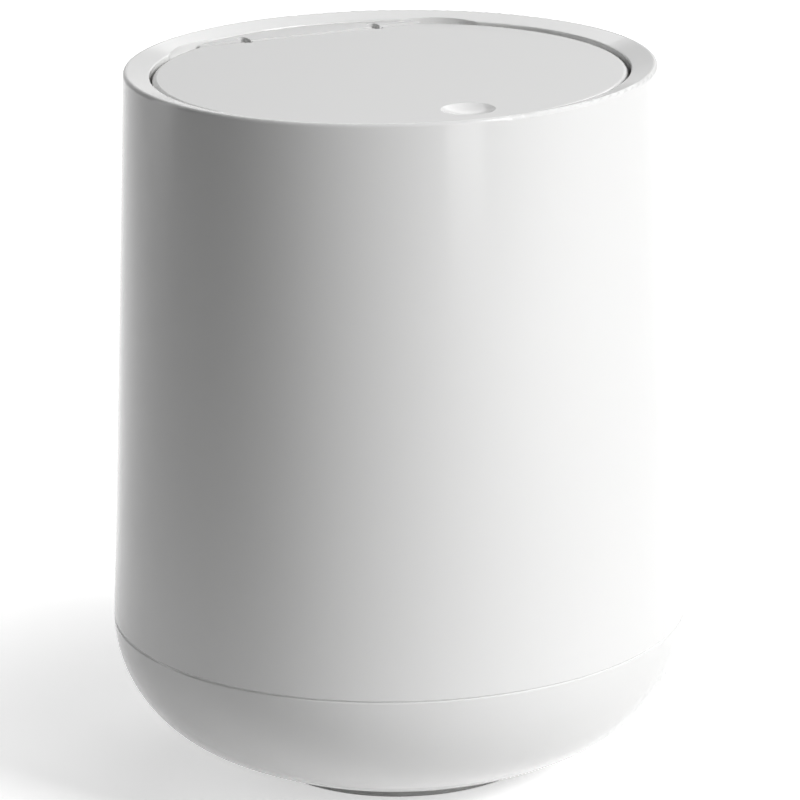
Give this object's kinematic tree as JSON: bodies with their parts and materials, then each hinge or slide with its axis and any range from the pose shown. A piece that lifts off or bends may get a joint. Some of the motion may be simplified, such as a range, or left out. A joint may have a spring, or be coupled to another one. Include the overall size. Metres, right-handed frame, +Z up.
{
  "type": "countertop bin with push-open lid",
  "caption": "Tapered round countertop bin: a flush lid pops up from a recessed ring when pressed, on a cover that lifts off a bowl-shaped base with a bucket inside.",
  "frame": {"origin": "centre of the foot ring on the table", "axes": "+Z up; +Y towards the lid's hinge, -Y towards the finger dimple; +X to the right seen from the dimple side"},
  "size_m": [0.1878, 0.1878, 0.232],
  "materials": {
    "gloss_white": "smooth glossy moulded white plastic",
    "satin_white": "satin natural white plastic",
    "bucket_plastic": "satin grey moulded plastic",
    "foot_rubber": "soft off-white rubber",
    "spring_steel": "bright drawn steel wire",
    "zinc_screws": "zinc-plated steel",
    "nickel": "bright nickel plating"
  },
  "bodies": {
    "base": {"base_bowl": "gloss_white", "foot_ring": "foot_rubber"},
    "bucket": {"inner_bucket": "bucket_plastic"},
    "bail": {"bail_wire": "spring_steel", "bail_grip": "satin_white"},
    "cover": {"cover_shell": "gloss_white", "hinge_frame": "gloss_white", "hinge_pin": "spring_steel", "lid_spring_left": "spring_steel", "lid_spring_right": "spring_steel", "hinge_screws": "zinc_screws", "lid_buffers": "foot_rubber", "latch_housing": "satin_white", "latch_cap": "satin_white", "latch_screws": "zinc_screws", "plunger_spring": "spring_steel"},
    "plunger": {"latch_plunger": "satin_white", "latch_magnet": "nickel"},
    "lid": {"lid_flap": "gloss_white", "strike_plate": "zinc_screws", "strike_screw": "zinc_screws"}
  },
  "joints": [
    {"name": "cover_lift", "type": "slide", "parent": "base", "child": "cover", "axis": [0, 0, 1], "range_m": [0, 0.18]},
    {"name": "bucket_lift", "type": "slide", "parent": "base", "child": "bucket", "axis": [0, 0, 1], "range_m": [0, 0.0721]},
    {"name": "bail_swing", "type": "hinge", "parent": "bucket", "child": "bail", "pos_m": [0, 0, 0.1904], "axis": [1, 0, 0], "range_deg": [0, 90.1]},
    {"name": "lid_open", "type": "hinge", "parent": "cover", "child": "lid", "pos_m": [0, 0.063, 0.22815], "axis": [-1, 0, 0], "range_deg": [0, 85]},
    {"name": "plunger_press", "type": "slide", "parent": "cover", "child": "plunger", "axis": [0, 0, -1], "range_m": [0, 0.0018], "stiffness_N_per_m": 250, "springref_m": -0.003, "deforming": ["plunger_spring"]}
  ],
  "couplings": [
    {"joint": "bucket_lift", "follows": "cover_lift", "ratio": 0.4},
    {"joint": "bail_swing", "follows": "cover_lift", "rad_per_m": 8.7266}
  ]
}
